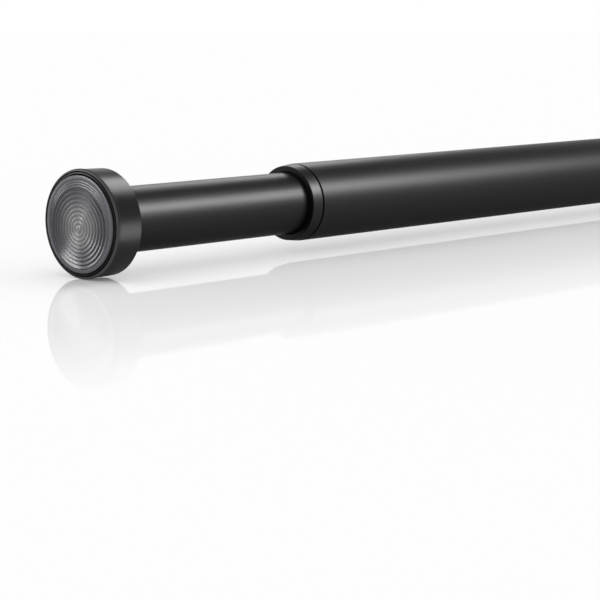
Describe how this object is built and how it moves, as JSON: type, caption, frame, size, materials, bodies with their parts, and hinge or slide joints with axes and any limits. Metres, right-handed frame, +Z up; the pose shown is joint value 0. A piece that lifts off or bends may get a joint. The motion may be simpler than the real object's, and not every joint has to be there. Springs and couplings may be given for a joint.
{
  "type": "spring tension rod",
  "caption": "Telescopic black rod with a twist lock and a spring inside, held between two walls by round end caps with ribbed grip pads.",
  "frame": {"origin": "centre of the grip pad's face at the outer tube's closed end, on the rod's axis", "axes": "+X along the rod from the outer tube's end to the inner tube's end, +Z up"},
  "size_m": [0.4639, 0.0326, 0.0326],
  "materials": {
    "tube_black": "satin black powder coat",
    "cap_black": "satin black",
    "pad_grey": "translucent, moulded ridges",
    "plug_grey": "as moulded",
    "lock_white": "as moulded, slightly waxy",
    "bright_steel": "zinc plated",
    "spring_steel": "drawn wire, lightly oiled"
  },
  "bodies": {
    "outer": {"outer_tube": "tube_black", "outer_collar": "cap_black", "outer_end_plug": "plug_grey", "outer_cap": "cap_black", "outer_cap_screw": "bright_steel", "outer_pad": "pad_grey"},
    "bush": {"guide_bush": "lock_white"},
    "lock": {"spindle": "bright_steel", "cam_hub": "lock_white", "hub_pin": "bright_steel", "end_washer": "bright_steel", "end_clip": "bright_steel", "spindle_clip": "bright_steel", "stop_washer": "bright_steel", "spring_washer_rear": "bright_steel", "spring": "spring_steel"},
    "ring": {"lock_ring": "plug_grey"},
    "inner": {"inner_tube": "tube_black", "inner_end_plug": "plug_grey", "inner_cap": "cap_black", "inner_cap_screw": "bright_steel", "inner_pad": "pad_grey", "spindle_guide": "lock_white", "spring_washer_front": "bright_steel"}
  },
  "joints": [
    {"name": "telescope", "type": "slide", "parent": "outer", "child": "bush", "axis": [1, 0, 0], "range_m": [-0.058, 0.146]},
    {"name": "twist_lock", "type": "hinge", "parent": "bush", "child": "lock", "pos_m": [0.10235, 0, 0], "axis": [1, 0, 0], "range_deg": [0, 32]},
    {"name": "spring_travel", "type": "slide", "parent": "lock", "child": "inner", "axis": [-1, 0, 0], "range_m": [0, 0.02], "stiffness_N_per_m": 3700, "springref_m": -0.01, "deforming": ["spring"]},
    {"name": "ring_shift", "type": "hinge", "parent": "lock", "child": "ring", "pos_m": [0.10235, 0.001, 0], "axis": [1, 0, 0], "range_deg": [-32, 0]}
  ],
  "couplings": [
    {"joint": "ring_shift", "follows": "twist_lock", "ratio": -1}
  ]
}
